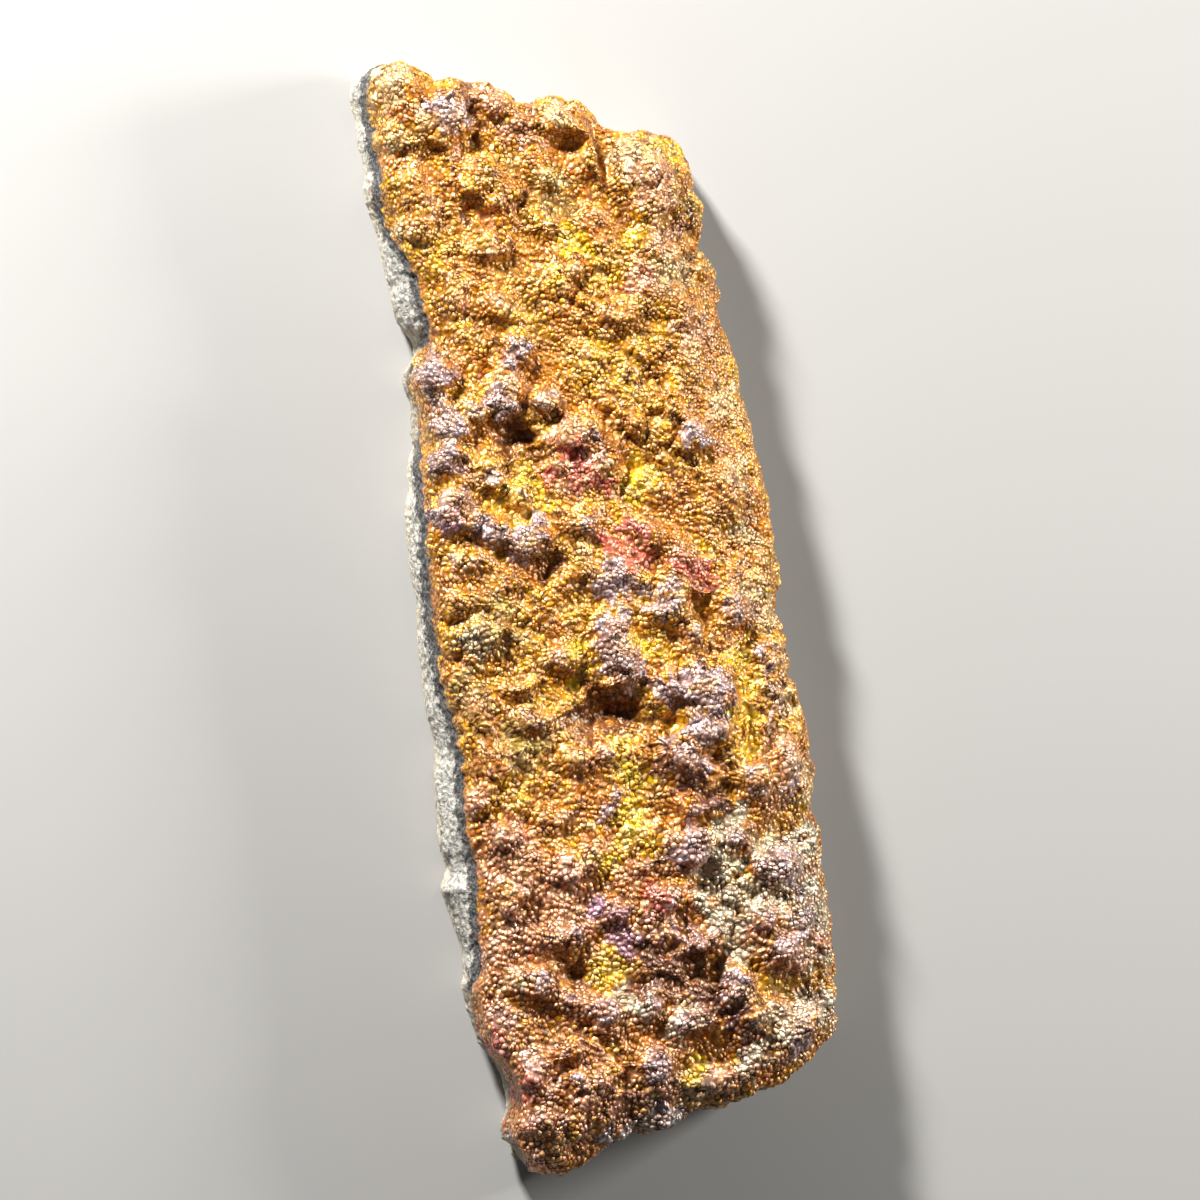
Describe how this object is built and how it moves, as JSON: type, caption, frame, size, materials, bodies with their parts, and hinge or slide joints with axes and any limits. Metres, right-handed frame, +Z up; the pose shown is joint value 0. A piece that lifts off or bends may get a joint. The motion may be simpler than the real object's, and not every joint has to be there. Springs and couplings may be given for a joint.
{
  "type": "iridescent goethite specimen",
  "caption": "Long slab of botryoidal, rainbow-tarnished goethite crust on pale grey matrix, lying on its broken back, with a lumpy face and a broken side wall.",
  "frame": {"origin": "on the surface that the slab lies on, under the middle of its bounding box", "axes": "+X across the slab towards the side where the crust rolls over, +Y along the slab towards its slanting upper end, +Z up out of the iridescent crust"},
  "size_m": [0.0534, 0.15, 0.0181],
  "materials": {
    "goethite_crust": "Satin-metallic botryoidal crust with a rainbow tarnish: amber and yellow gold, copper, rose, magenta, lilac and silver, dark brown in its creases. Its broken edges and back show a dark band under the crust and then pale grey, granular, dull matrix with rust stains."
  },
  "bodies": {
    "root": {"goethite_slab": "goethite_crust"}
  },
  "joints": []
}
